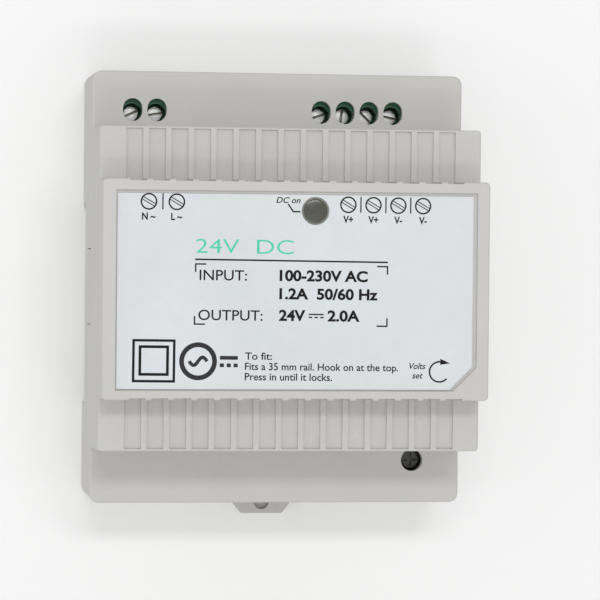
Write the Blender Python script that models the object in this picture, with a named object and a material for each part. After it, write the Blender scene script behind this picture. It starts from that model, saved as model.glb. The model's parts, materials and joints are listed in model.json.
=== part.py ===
"""DIN rail power supply: a stepped snap-together case, its rail latch and terminals, and the supply inside.

Frame: origin at the centre of the rail seat, +Y out of the back of the case, +Z up, front facing -Y.
Sizes are in millimetres; MM turns them into Blender's metres.
"""
import math

import bmesh
import bpy

MM = 0.001

# ---- case: three tiers, stepped in depth and all as wide as the case
half_width = 39.0
back_y = 7.0
seam_y = -7.5
rear = {"half_height": 45.0, "front_y": -18.0, "start_y": -7.6, "corner": 1.8, "edge": 0.5, "draft": 0.0}
middle = {"half_height": 32.8, "front_y": -39.1, "start_y": -12.0, "corner": 0.7, "edge": 0.4, "draft": 0.8}
plate = {"half_height": 22.0, "front_y": -49.0, "start_y": -30.0, "corner": 0.9, "edge": 0.4, "draft": 0.3}
wall = 1.8
front_wall_y = -46.7         # inner face of the front plate
shoulder_wall = 1.9
seam_gap = 0.2
tab_half_height = 8.0        # side tabs of the base that reach up into the cover
tab_front_y = -15.5

# ---- grip ribs on both shoulders of the cover
rib_count = 14
rib_pitch = 4.567
rib_width = 1.18
groove_depth = 0.6
groove_rim = 0.45            # plain strip left along the outer edge of a shoulder
wall_flute_depth = 0.4       # the grooves run on up the wall of the front plate

# ---- front plate: label recess with one cut corner, and the pilot window
recess = {"x": (-36.4, 36.5), "z": (-20.1, 19.75), "cut": 4.8, "floor_y": -48.3}
label = {"x": (-36.1, 35.6), "z": (-19.8, 19.1), "cut": 4.6, "y": (-48.62, -48.4)}
window_x, window_z = 3.5, 15.9
window_radius = 2.65

# ---- terminals: screws face the front, wires enter from above
terminal_pitch = 5.08
terminal_z = 36.3
terminal_hole_z = 36.95
terminal_hole = (4.05, 4.78)
ac_centre_x, ac_ways = -28.1, 2
dc_centre_x, dc_ways = 16.63, 4
block_z = (31.2, 40.2)
block_y = (-15.7, -4.7)
well_radius = 2.1
well_floor_y = -10.8
cage_room = {"half_x": 2.05, "y": (-10.1, -5.3), "z": (33.4, 39.2)}
wire_hole = {"half_x": 1.75, "y": (-8.6, -5.4)}
wire_window_y = (-10.0, -4.6)
screw_head = {"radius": 1.75, "y": (-12.2, -11.0), "slot_width": 0.5, "slot_depth": 0.55}
screw_shank = {"radius": 1.1, "end_y": -7.5}
screw_turned = (65, 80, 72, 8, -45, 103)  # angle of each screw's slot from upright, in degrees
cage = {"half_x": 1.85, "y": (-8.4, -5.4), "z": (34.0, 38.6), "side": 0.5, "top": 0.7, "bottom": 0.5}

# ---- output trimmer
trimmer_x, trimmer_z = 29.0, -36.1
trimmer_hole_radius = 2.3
trimmer = {"side": 6.6, "tall": 9.2, "seat_radius": 2.3, "seat_floor": -11.0, "rotor_radius": 2.05,
           "rotor_y": (-11.3, -15.3), "slot_half_width": 0.35, "slot_half_length": 1.5, "slot_depth": 0.7}

# ---- rail slot and latch
rail_slot = {"top": 17.8, "bottom": -25.0, "hook_tip": 16.5, "hook_y": 1.4, "relief_y": -0.4, "land": 15.5}
channel = {"half_wide": 7.8, "half_narrow": 6.8, "y": (1.2, 4.1)}
latch = {"half_x": 6.4, "half_flange": 7.4, "y": (1.5, 6.8), "flange_y": 3.8, "tip_z": -16.2, "foot_z": -49.2,
         "shoulder_z": -46.7, "foot_half": 4.8, "foot_y": 4.6, "hole_radius": 1.65, "hole_z": -46.7,
         "hole_floor_y": 6.2}
latch_window = {"half_x": 2.2, "z": (-41.0, -29.0)}
spring_peg = {"half_x": 1.8, "y": (0.6, 5.6), "z": (-40.7, -39.3)}
spring = {"z": (-39.0, -29.3), "centre_y": 4.0, "radius": 1.25, "wire": 0.22, "turns": 7}

# ---- circuit board and what stands on it
board = {"half_x": 35.3, "half_z": 41.3, "y": (-4.4, -2.8)}
board_screw_places = ((-31.5, -36.0), (17.0, -37.0), (-12.0, 36.5), (31.8, 36.5))
parts_y = -4.7               # undersides of the pieces soldered to the board
floor_y = -1.8               # inner face of the base's floor
round_sides = 18

FINISHES = {
    "case_grey": ((0.62, 0.61, 0.59), 0.50, 0.0),
    "label_film": ((0.74, 0.77, 0.80), 0.35, 0.0),
    "smoked_lens": ((0.10, 0.105, 0.085), 0.15, 0.0),
    "clear_acrylic": ((0.80, 0.82, 0.80), 0.05, 0.0),
    "green_plastic": ((0.01, 0.12, 0.05), 0.35, 0.0),
    "plated_steel": ((0.72, 0.72, 0.70), 0.25, 1.0),
    "board_green": ((0.03, 0.16, 0.06), 0.45, 0.0),
    "insulation_film": ((0.80, 0.78, 0.70), 0.60, 0.0),
    "black_plastic": ((0.02, 0.02, 0.02), 0.45, 0.0),
    "dark_moulding": ((0.07, 0.07, 0.06), 0.40, 0.0),
    "white_plastic": ((0.75, 0.75, 0.72), 0.40, 0.0),
    "blue_epoxy": ((0.03, 0.11, 0.42), 0.40, 0.0),
    "brown_plastic": ((0.12, 0.05, 0.02), 0.40, 0.0),
    "yellow_plastic": ((0.80, 0.50, 0.05), 0.45, 0.0),
    "ferrite": ((0.05, 0.05, 0.05), 0.60, 0.0),
    "copper_wire": ((0.60, 0.22, 0.08), 0.30, 1.0),
    "aluminium": ((0.75, 0.76, 0.78), 0.35, 1.0),
    "capacitor_sleeve": ((0.03, 0.03, 0.05), 0.35, 0.0),
}

for old in list(bpy.data.objects):
    bpy.data.objects.remove(old, do_unlink=True)


# ---- outlines: lists of (across, up) points
def arc(centre_a, centre_b, radius, start, end, steps):
    """Points on a circle from start to end, in degrees."""
    turns = [math.radians(start + (end - start) * i / steps) for i in range(steps + 1)]
    return [(centre_a + radius * math.cos(t), centre_b + radius * math.sin(t)) for t in turns]


def circle(centre_a, centre_b, radius, sides=round_sides):
    return arc(centre_a, centre_b, radius, 0, 360, sides)[:-1]


def stadium(centre_a, centre_b, width, height, steps=10):
    """An upright slot with round ends."""
    radius, rise = width / 2, (height - width) / 2
    top = arc(centre_a, centre_b + rise, radius, 0, 180, steps)
    return top + arc(centre_a, centre_b - rise, radius, 180, 360, steps)


def rounded_box_outline(half_a, half_b, radius, steps=4):
    points = []
    for quarter, (side_a, side_b) in enumerate(((1, 1), (-1, 1), (-1, -1), (1, -1))):
        centre = side_a * (half_a - radius), side_b * (half_b - radius)
        points += arc(*centre, radius, 90 * quarter, 90 * quarter + 90, steps)
    return points


def rectangle(low_a, high_a, low_b, high_b):
    return [(low_a, low_b), (high_a, low_b), (high_a, high_b), (low_a, high_b)]


def cut_corner_rectangle(span_a, span_b, cut):
    """A rectangle whose lower right corner is cut off at 45 degrees."""
    (low_a, high_a), (low_b, high_b) = span_a, span_b
    return [(low_a, low_b), (high_a - cut, low_b), (high_a, low_b + cut), (high_a, high_b), (low_a, high_b)]


# ---- solids: (points, faces) pairs in millimetres
def stacked(rings):
    """Closed solid through rings of equally many points, capped at both ends."""
    count = len(rings[0])
    points = [point for ring in rings for point in ring]
    faces = [list(range(count)), list(range(len(points) - count, len(points)))]
    for row in range(len(rings) - 1):
        for i in range(count):
            j = (i + 1) % count
            faces.append([row * count + i, row * count + j, (row + 1) * count + j, (row + 1) * count + i])
    return points, faces


def prism(outline, axis, low, high):
    """An outline carried along an axis. It lies in (x, z) for Y, (y, z) for X and (x, y) for Z."""
    lifts = {"X": lambda a, b, t: (t, a, b), "Y": lambda a, b, t: (a, t, b), "Z": lambda a, b, t: (a, b, t)}
    return stacked([[lifts[axis](a, b, t) for a, b in outline] for t in (low, high)])


def box(x, y, z):
    return prism(rectangle(*x, *z), "Y", *y)


def block_at(centre_x, centre_z, width, depth, tall):
    """A box standing on the board: width along X, depth along Z, tall towards the front."""
    x = (centre_x - width / 2, centre_x + width / 2)
    z = (centre_z - depth / 2, centre_z + depth / 2)
    return box(x, (parts_y - tall, parts_y), z)


def turned(centre_x, centre_z, profile, sides=round_sides):
    """A solid turned about a line along Y; profile is (radius, y) from one end to the other."""
    rings = [[(x, y, z) for x, z in circle(centre_x, centre_z, radius, sides)] for radius, y in profile]
    return stacked(rings)


def slab(tier):
    """A tier of the case, with rounded corners and front edge, and a draft on its top and bottom."""
    radius, front = tier["edge"], tier["front_y"]
    sections = [(0, tier["draft"], tier["start_y"])]
    sections += [(inset, 0, y) for inset, y in arc(radius, front + radius, -radius, 0, 90, 3)]
    rings = []
    for inset, draft, y in sections:
        half_height = tier["half_height"] + draft - inset
        outline = rounded_box_outline(half_width - inset, half_height, tier["corner"] - inset)
        rings.append([(a, y, b) for a, b in outline])
    return stacked(rings)


def looped(rings):
    """A ring-shaped solid: the last ring of points joins the first, and there are no caps."""
    points, faces = stacked(rings + rings[:1])
    total = len(rings) * len(rings[0])
    return points[:total], [[i % total for i in face] for face in faces[2:]]


def bent_tube(centre, radius, outer, inner, start, end, steps):
    """A square tube bent round a line along Y: outer and inner are its half width and half height."""
    centre_x, centre_y, centre_z = centre
    corners = ((-1, -1), (1, -1), (1, 1), (-1, 1))

    def section(half_a, half_b, turn):
        angle = math.radians(start + (end - start) * turn / steps)
        reach = [radius + half_a * a for a, _ in corners]
        return [(centre_x + r * math.cos(angle), centre_y + half_b * b, centre_z + r * math.sin(angle))
                for r, (_, b) in zip(reach, corners)]

    outside = [section(*outer, turn) for turn in range(steps + 1)]
    inside = [section(*inner, turn) for turn in reversed(range(steps + 1))]
    return looped(outside + inside)


def together(*solids):
    points, faces = [], []
    for more_points, more_faces in solids:
        start = len(points)
        points += more_points
        faces += [[start + i for i in face] for face in more_faces]
    return points, faces


# ---- objects
def finish_material(name):
    material = bpy.data.materials.get(name)
    if material is None:
        material = bpy.data.materials.new(name)
        material.use_nodes = True
        colour, roughness, metallic = FINISHES[name]
        shader = material.node_tree.nodes["Principled BSDF"]
        shader.inputs["Base Color"].default_value = (*colour, 1.0)
        shader.inputs["Roughness"].default_value = roughness
        shader.inputs["Metallic"].default_value = metallic
        material.diffuse_color = (*colour, 1.0)
    return material


def mesh_from(name, solid, origin=(0, 0, 0)):
    points, faces = solid
    mesh = bpy.data.meshes.new(name)
    mesh.from_pydata([[(p - o) * MM for p, o in zip(point, origin)] for point in points], [], faces)
    shaper = bmesh.new()
    shaper.from_mesh(mesh)
    bmesh.ops.recalc_face_normals(shaper, faces=shaper.faces)
    shaper.to_mesh(mesh)
    shaper.free()
    return mesh


def part(name, solid, finish, origin=(0, 0, 0), smooth=False):
    """A named piece, with its object's origin at the given place."""
    obj = bpy.data.objects.new(name, mesh_from(name, solid, origin))
    obj.location = [o * MM for o in origin]
    bpy.context.collection.objects.link(obj)
    obj.data.materials.append(finish_material(finish))
    if smooth:
        obj.data.shade_smooth()
        obj.data.set_sharp_from_angle(angle=math.radians(35))
    return obj


def shape_with(target, solid, operation, label_text):
    """Cuts a solid out of a piece, or adds it, with a Boolean and a hidden tool."""
    tool = bpy.data.objects.new(f"{target.name}_{label_text}", mesh_from(label_text, solid, (0, 0, 0)))
    bpy.context.collection.objects.link(tool)
    tool.hide_render = True
    tool.display_type = "WIRE"
    change = target.modifiers.new(label_text, "BOOLEAN")
    change.operation = operation
    change.solver = "EXACT"
    change.object = tool


def cut(target, solid, label_text):
    shape_with(target, solid, "DIFFERENCE", label_text)


def add(target, solid, label_text):
    shape_with(target, solid, "UNION", label_text)


def way_places(centre_x, ways):
    return [centre_x + terminal_pitch * (i - (ways - 1) / 2) for i in range(ways)]


def window_span(centre_x, ways):
    half = terminal_pitch * ways / 2 + 0.5
    return centre_x - half, centre_x + half


def wire_windows():
    return together(*(box(window_span(centre, ways), wire_window_y, (40.8, 46.0))
                      for centre, ways in ((ac_centre_x, ac_ways), (dc_centre_x, dc_ways))))


# ---- case
def groove_cutters():
    """One box for each groove: it cuts the shoulder, then runs up the plate's wall and out at the front."""
    grooves = rib_count + 1
    half = (rib_pitch - rib_width) / 2
    wall_z = plate["half_height"] - wall_flute_depth
    rim_z = middle["half_height"] - groove_rim
    cutters = []
    for i in range(grooves):
        x = rib_pitch * (i - (grooves - 1) / 2)
        for low, high in ((wall_z, rim_z), (-rim_z, -wall_z)):
            cutters.append(box((x - half, x + half), (plate["front_y"] - 1, middle["front_y"] + groove_depth),
                               (low, high)))
    return together(*cutters)


def inside_outline():
    """The cover's hollow seen from the side: it steps like the outside, one wall further in."""
    steps = ((rear["front_y"] + wall, rear["half_height"] - wall),
             (middle["front_y"] + shoulder_wall, middle["half_height"] - wall),
             (front_wall_y, plate["half_height"] - wall - wall_flute_depth))
    back = -5.0
    lower = []
    for floor, inside in steps:
        lower += [(back, -inside), (floor, -inside)]
        back = floor
    return lower + [(y, -z) for y, z in reversed(lower)]


def make_cover():
    cover = part("cover", slab(rear), "case_grey")
    add(cover, slab(middle), "middle_tier")
    add(cover, slab(plate), "front_tier")
    inner_half = half_width - wall
    cut(cover, prism(inside_outline(), "X", -inner_half, inner_half), "inside")
    cut(cover, groove_cutters(), "grooves")
    cut(cover, prism(cut_corner_rectangle(recess["x"], recess["z"], recess["cut"]), "Y", -52.0,
                     recess["floor_y"]), "recess")
    holes = [prism(circle(window_x, window_z, 2.3), "Y", -50.0, -45.0),
             prism(circle(trimmer_x, trimmer_z, trimmer_hole_radius, 32), "Y", -20.0, -15.0)]
    for x in way_places(ac_centre_x, ac_ways) + way_places(dc_centre_x, dc_ways):
        holes.append(prism(stadium(x, terminal_hole_z, *terminal_hole), "Y", -20.0, -15.0))
    cut(cover, together(*holes), "holes")
    cut(cover, wire_windows(), "wire_windows")
    notches = [box(x, (tab_front_y - seam_gap / 2, -5.0), (-tab_half_height, tab_half_height))
               for x in ((-41.0, -36.0), (36.0, 41.0))]
    cut(cover, together(*notches), "tab_notches")


def rail_slot_outline():
    slot = rail_slot
    return [(slot["relief_y"], slot["top"]), (slot["hook_y"], slot["top"]),
            (slot["hook_y"], slot["hook_tip"]), (5.0, slot["hook_tip"]),
            (7.4, 18.2), (9.0, 18.2), (9.0, slot["bottom"]),
            (slot["relief_y"], slot["bottom"]), (slot["relief_y"], -slot["land"]), (0.0, -slot["land"]),
            (0.0, slot["land"]), (slot["relief_y"], slot["land"])]


def make_base():
    shell = {**rear, "front_y": -back_y, "start_y": -(seam_y + seam_gap / 2), "edge": 0.6}
    points, faces = slab(shell)
    base = part("base", ([(x, -y, z) for x, y, z in points], faces), "case_grey")
    lip_x, lip_z = half_width - wall - 0.3, rear["half_height"] - wall - 0.3
    add(base, box((-lip_x, lip_x), (-9.6, 0.0), (-lip_z, lip_z)), "lip")
    side_tabs = [box(x, (tab_front_y + seam_gap / 2, -4.0), (0.2 - tab_half_height, tab_half_height - 0.2))
                 for x in ((-half_width, -half_width + wall), (half_width - wall, half_width))]
    add(base, together(*side_tabs), "side_tabs")
    tray_x, tray_z = lip_x - 1.2, lip_z - 1.2
    cut(base, box((-tray_x, tray_x), (-20.0, floor_y), (-tray_z, tray_z)), "tray")
    cut(base, prism(rail_slot_outline(), "X", -45.0, 45.0), "rail_slot")
    pockets = [box((-tray_x, tray_x), (-3.0, back_y - wall), (20.0, tray_z))]
    pockets += [box(x, (-3.0, back_y - wall), (-tray_z, -27.0)) for x in ((-tray_x, -11.0), (11.0, tray_x))]
    cut(base, together(*pockets), "pockets")
    low, high = channel["y"]
    wide, narrow, span_z = channel["half_wide"], channel["half_narrow"], (-46.0, -22.0)
    cut(base, box((-wide, wide), (low, high), span_z), "channel")
    cut(base, box((-narrow, narrow), (low + 0.5, 9.0), span_z), "mouth")
    peg = spring_peg
    add(base, box((-peg["half_x"], peg["half_x"]), peg["y"], peg["z"]), "spring_peg")
    cut(base, wire_windows(), "wire_windows")
    bosses, bores = [], []
    for x, z in board_screw_places:
        bosses.append(prism(circle(x, z, 3.0, 20), "Y", board["y"][1] + 0.1, back_y - 1.0))
        bores.append(prism(circle(x, z, 1.25, 16), "Y", -4.0, 2.5))
    add(base, together(*bosses), "bosses")
    cut(base, together(*bores), "bores")


def make_front():
    film = part("rating_label", prism(cut_corner_rectangle(label["x"], label["z"], label["cut"]), "Y",
                                      *label["y"]), "label_film")
    cut(film, prism(circle(window_x, window_z, window_radius + 0.15, 32), "Y", -50.0, -47.0), "window_hole")
    part("led_window", turned(window_x, window_z, [(2.0, -46.2), (2.0, -48.4), (window_radius, -48.4),
                                                   (window_radius, -48.7), (2.2, -48.85), (1.2, -48.92)], 32),
         "smoked_lens", smooth=True)
    pipe = turned(window_x, window_z, [(1.5, -10.8), (1.5, -45.9)], 16)
    part("light_pipe", pipe, "clear_acrylic", smooth=True)
    part("indicator_led", turned(window_x, window_z, [(1.9, parts_y), (1.9, -5.7), (1.5, -5.7), (1.5, -8.9),
                                                      (1.1, -9.9), (0.5, -10.4)], 16), "green_plastic",
         smooth=True)


# ---- terminals
def make_terminal_block(name, centre_x, ways):
    half = terminal_pitch * ways / 2 + 0.05
    block = part(name, box((centre_x - half, centre_x + half), block_y, block_z), "green_plastic")
    rooms, wells = [], []
    for x in way_places(centre_x, ways):
        room, hole = cage_room, wire_hole
        rooms.append(box((x - room["half_x"], x + room["half_x"]), room["y"], room["z"]))
        wells.append(prism(circle(x, terminal_z, well_radius), "Y", block_y[0] - 1, well_floor_y))
        shank_hole = circle(x, terminal_z, screw_shank["radius"] + 0.25, 16)
        wells.append(prism(shank_hole, "Y", well_floor_y - 1, -9.0))
        wells.append(box((x - hole["half_x"], x + hole["half_x"]), hole["y"], (38.0, block_z[1] + 1)))
    cut(block, together(*rooms), "cage_rooms")
    for i, solid in enumerate((together(*wells[0::3]), together(*wells[1::3]), together(*wells[2::3]))):
        cut(block, solid, ("screw_wells", "shank_holes", "wire_holes")[i])


def turn_about(points, centre_x, centre_z, degrees):
    """Turns points about a line along Y, clockwise as seen from the front."""
    c, s = math.cos(math.radians(degrees)), math.sin(math.radians(degrees))
    return [(centre_x + (x - centre_x) * c + (z - centre_z) * s, y,
             centre_z - (x - centre_x) * s + (z - centre_z) * c) for x, y, z in points]


def make_terminal(number, x, slot_angle):
    """A slotted screw on its own axis, and the rising clamp cage that it lifts."""
    head = screw_head
    front, under = head["y"]
    radius, shank = head["radius"], screw_shank["radius"]
    profile = [(radius - 0.15, front), (radius, front + 0.15), (radius, under), (shank, under),
               (shank, screw_shank["end_y"] - 0.2), (shank - 0.2, screw_shank["end_y"])]
    screw = part(f"terminal_screw_{number}", turned(x, terminal_z, profile, 20), "plated_steel",
                 origin=(x, 0, terminal_z), smooth=True)
    half = head["slot_width"] / 2
    points, faces = box((x - half, x + half), (front - 1, front + head["slot_depth"]),
                        (terminal_z - 3, terminal_z + 3))
    cut(screw, (turn_about(points, x, terminal_z, slot_angle), faces), "slot")

    (top, bottom), (low, high) = cage["y"], cage["z"]
    side = cage["half_x"]
    clamp_block = box((x - side, x + side), (top, bottom), (low, high))
    clamp = part(f"clamp_cage_{number}", clamp_block, "plated_steel")
    inner = side - cage["side"]
    cut(clamp, box((x - inner, x + inner), (top + cage["top"], bottom - cage["bottom"]), (low - 1, high + 1)),
        "wire_way")
    thread = prism(circle(x, terminal_z, shank + 0.15, 16), "Y", top - 1, top + cage["top"] + 0.3)
    cut(clamp, thread, "thread")


def make_terminals():
    make_terminal_block("terminal_block_ac", ac_centre_x, ac_ways)
    make_terminal_block("terminal_block_dc", dc_centre_x, dc_ways)
    places = way_places(ac_centre_x, ac_ways) + way_places(dc_centre_x, dc_ways)
    for number, (x, angle) in enumerate(zip(places, screw_turned), start=1):
        make_terminal(number, x, angle)


def make_trimmer():
    """A tall trimming potentiometer, whose cross-slotted rotor stands just behind its hole in the cover."""
    size = trimmer
    body = part("trimmer_body", block_at(trimmer_x, trimmer_z, size["side"], size["side"], size["tall"]),
                "dark_moulding")
    seat = prism(circle(trimmer_x, trimmer_z, size["seat_radius"]), "Y", -16.0, size["seat_floor"])
    cut(body, seat, "rotor_seat")
    foot, top = size["rotor_y"]
    radius = size["rotor_radius"]
    profile = [(radius, foot), (radius, top + 0.25), (radius - 0.25, top)]
    rotor = part("trimmer_rotor", turned(trimmer_x, trimmer_z, profile), "dark_moulding",
                 origin=(trimmer_x, 0, trimmer_z), smooth=True)
    narrow, long = size["slot_half_width"], size["slot_half_length"]
    span_y = (top - 1, top + size["slot_depth"])
    for name, half_x, half_z in (("slot", narrow, long), ("cross_slot", long, narrow)):
        arm = box((trimmer_x - half_x, trimmer_x + half_x), span_y, (trimmer_z - half_z, trimmer_z + half_z))
        cut(rotor, arm, name)


# ---- rail latch
def make_latch():
    half, (front, back) = latch["half_x"], latch["y"]
    nose = [(front, -27.0), (back, -27.0), (back, -21.5), (2.6, latch["tip_z"]), (front, latch["tip_z"])]
    slider = part("din_latch", prism(nose, "X", -half, half), "case_grey")
    add(slider, box((-half, half), (front, back), (-44.6, -26.0)), "body")
    flange = latch["half_flange"]
    add(slider, box((-flange, flange), (front, latch["flange_y"]), (-43.5, -26.5)), "flanges")
    foot = [(-half, -44.0), (-half, latch["shoulder_z"]), (-latch["foot_half"], latch["foot_z"] + 0.4),
            (-latch["foot_half"] + 0.4, latch["foot_z"])]
    foot += [(-x, z) for x, z in reversed(foot)]
    add(slider, prism(foot, "Y", latch["foot_y"], back), "foot")
    window = box((-latch_window["half_x"], latch_window["half_x"]), (0.0, 9.0), latch_window["z"])
    cut(slider, window, "window")
    pull_hole = circle(0, latch["hole_z"], latch["hole_radius"], 20)
    cut(slider, prism(pull_hole, "Y", 3.0, latch["hole_floor_y"]), "pull_hole")


def make_spring():
    """The latch's coil spring: wire along a helix about a line along Z, with closed end turns."""
    low, high = spring["z"]
    wire, turns, per_turn = spring["wire"], spring["turns"], 12
    total = turns * per_turn
    curve = bpy.data.curves.new("latch_spring", "CURVE")
    curve.dimensions = "3D"
    curve.bevel_depth = wire * MM
    curve.bevel_resolution = 1
    curve.use_fill_caps = True
    spline = curve.splines.new("POLY")
    spline.points.add(total)
    for i, point in enumerate(spline.points):
        angle = 2 * math.pi * i / per_turn
        share = i / total
        eased = share - 0.55 * math.sin(2 * math.pi * share) / (2 * math.pi)
        z = low + wire + (high - low - 2 * wire) * eased
        x, y = spring["radius"] * math.cos(angle), spring["centre_y"] + spring["radius"] * math.sin(angle)
        point.co = (x * MM, y * MM, z * MM, 1.0)
    obj = bpy.data.objects.new("latch_spring", curve)
    bpy.context.collection.objects.link(obj)
    curve.materials.append(finish_material("plated_steel"))


# ---- circuit board and its pieces
def make_board():
    span_x, span_z = (-board["half_x"], board["half_x"]), (-board["half_z"], board["half_z"])
    pcb = part("circuit_board", box(span_x, board["y"], span_z), "board_green")
    part("insulation_sheet", box((-34.5, 34.5), (floor_y - 0.5, floor_y - 0.2), (-26.0, 19.5)),
         "insulation_film")
    cut(pcb, together(*(prism(circle(x, z, 1.6, 16), "Y", -6.0, 0.0) for x, z in board_screw_places)),
        "screw_holes")
    low, high = board["y"][0] - 0.1, board["y"][1]
    profile = [(1.9, low - 1.8), (2.6, low - 1.3), (2.6, low), (1.1, low), (1.1, high + 3.6)]
    for number, (x, z) in enumerate(board_screw_places, start=1):
        part(f"board_screw_{number}", turned(x, z, profile, 16), "plated_steel", smooth=True)


def disc_part(name, centre_x, centre_z, radius, thick, finish):
    """A round flat piece standing on edge on the board, with its axis along X."""
    outline = circle(parts_y - radius - 1.5, centre_z, radius, 20)
    part(name, prism(outline, "X", centre_x - thick / 2, centre_x + thick / 2), finish, smooth=True)


def can(name, centre_x, centre_z, radius, tall, finish):
    """An upright can with a rolled groove near its foot and a chamfered top."""
    top = parts_y - tall
    profile = [(radius, parts_y), (radius, parts_y - 1.5), (radius - 0.5, parts_y - 2.3),
               (radius, parts_y - 3.1), (radius, top + 0.6), (radius - 0.6, top)]
    part(name, turned(centre_x, centre_z, profile), finish, smooth=True)


def heatsink(name, x, z, tall):
    """An aluminium plate on edge with a folded foot and a folded top."""
    foot, thick = parts_y - 0.2, 1.6
    low, high = x
    top = foot - tall
    outline = [(low, foot), (high, foot), (high, foot - thick), (low + thick, foot - thick),
               (low + thick, top + thick), (high, top + thick), (high, top), (low, top)]
    part(name, prism(outline, "Z", *z), "aluminium")


def power_device(name, x, z, lift):
    """A flat three-leg power device: its moulded body on a metal tab."""
    outline = [(x, parts_y - lift), (x + 4.4, parts_y - lift), (x + 4.4, parts_y - lift - 9.0),
               (x + 1.3, parts_y - lift - 9.0), (x + 1.3, parts_y - lift - 15.0), (x, parts_y - lift - 15.0)]
    device = part(name, prism(outline, "Z", z - 5.0, z + 5.0), "black_plastic")
    cut(device, prism(circle(parts_y - lift - 12.2, z, 1.8, 16), "X", x - 1, x + 2), "tab_hole")


def make_choke():
    centre = (-26.0, parts_y - 6.0, -3.0)
    ring = [[(centre[0] + r * math.cos(t), centre[1] + y, centre[2] + r * math.sin(t))
             for r, y in ((4.4, -3.0), (7.6, -3.0), (7.6, 3.0), (4.4, 3.0))]
            for t in (2 * math.pi * i / 32 for i in range(32))]
    part("choke_core", looped(ring), "ferrite")
    for number, start in enumerate((25, 205), start=1):
        winding = bent_tube(centre, 6.0, (2.9, 4.4), (2.0, 3.4), start, start + 130, 10)
        part(f"choke_winding_{number}", winding, "copper_wire")


def make_transformer():
    x, z = 12.0, -4.0
    foot, tall = parts_y - 0.3, 21.0
    yoke = box((x - 12.5, x + 12.5), (foot - tall, foot), (z - 3.6, z + 3.6))
    core = part("transformer_core", yoke, "ferrite")
    openings = [box(span, (foot - tall + 3.4, foot - 3.4), (z - 5, z + 5))
                for span in ((x - 9.4, x - 3.6), (x + 3.6, x + 9.4))]
    cut(core, together(*openings), "winding_windows")
    front, rear_y = foot - tall + 3.7, foot - 3.7
    spool = part("transformer_bobbin", box((x - 5.0, x + 5.0), (front, rear_y), (z - 5.0, z + 5.0)),
                 "black_plastic")
    flanges = [box((x - 9.0, x + 9.0), span, (z - 9.0, z + 9.0))
               for span in ((front, front + 1.0), (rear_y - 1.0, rear_y))]
    add(spool, together(*flanges), "flanges")
    cut(spool, box((x - 3.9, x + 3.9), (front - 2, rear_y + 2), (z - 3.9, z + 3.9)), "leg_hole")
    outer, inner = rounded_box_outline(8.6, 8.6, 2.5), rounded_box_outline(5.3, 5.3, 0.3)
    rings = [[(x + a, y, z + b) for a, b in outline] for outline, y in
             ((outer, front + 1.3), (outer, rear_y - 1.3), (inner, rear_y - 1.3), (inner, front + 1.3))]
    part("transformer_winding", looped(rings), "yellow_plastic")


def make_supply():
    fuse_body = turned(-30.0, 24.5, [(4.0, parts_y), (4.2, parts_y - 0.4), (4.2, parts_y - 7.2),
                                     (3.8, parts_y - 7.7)])
    part("fuse", fuse_body, "brown_plastic", smooth=True)
    disc_part("varistor", -21.5, 24.0, 5.0, 4.0, "blue_epoxy")
    disc_part("ntc_thermistor", -14.5, 24.0, 5.5, 4.6, "black_plastic")
    part("x_capacitor", block_at(-26.2, 12.0, 17.2, 8.6, 15.0), "yellow_plastic")
    make_choke()
    part("bridge_rectifier", block_at(-26.5, -17.0, 17.0, 3.6, 15.0), "black_plastic")
    can("bulk_capacitor", -8.0, 6.0, 8.8, 31.0, "capacitor_sleeve")
    power_device("switch_transistor", -13.5, -22.0, 5.0)
    heatsink("primary_heatsink", (-16.5, -14.0), (-29.5, -14.0), 24.0)
    make_transformer()
    disc_part("y_capacitor", 4.0, -22.5, 4.2, 3.6, "blue_epoxy")
    part("control_chip", block_at(-4.0, -24.0, 6.4, 9.4, 3.4), "black_plastic")
    part("optocoupler", block_at(10.0, -24.0, 6.4, 4.6, 3.6), "white_plastic")
    power_device("output_diode", 28.6, -8.0, 5.0)
    heatsink("secondary_heatsink", (25.6, 28.2), (-20.0, 6.0), 24.0)
    for number, x in enumerate((15.0, 26.2), start=1):
        can(f"output_capacitor_{number}", x, 23.5, 5.0, 20.0, "capacitor_sleeve")
    drum = [(3.6, parts_y), (3.6, parts_y - 1.4), (2.9, parts_y - 1.4), (2.9, parts_y - 8.6),
            (3.6, parts_y - 8.6), (3.6, parts_y - 10.0)]
    part("output_inductor", turned(6.0, 24.8, drum), "ferrite", smooth=True)


make_cover()
make_base()
make_front()
make_terminals()
make_trimmer()
make_latch()
make_spring()
make_board()
make_supply()
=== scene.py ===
import json
import math

import bmesh
import bpy
import numpy as np
from mathutils import Matrix, Vector


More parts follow.
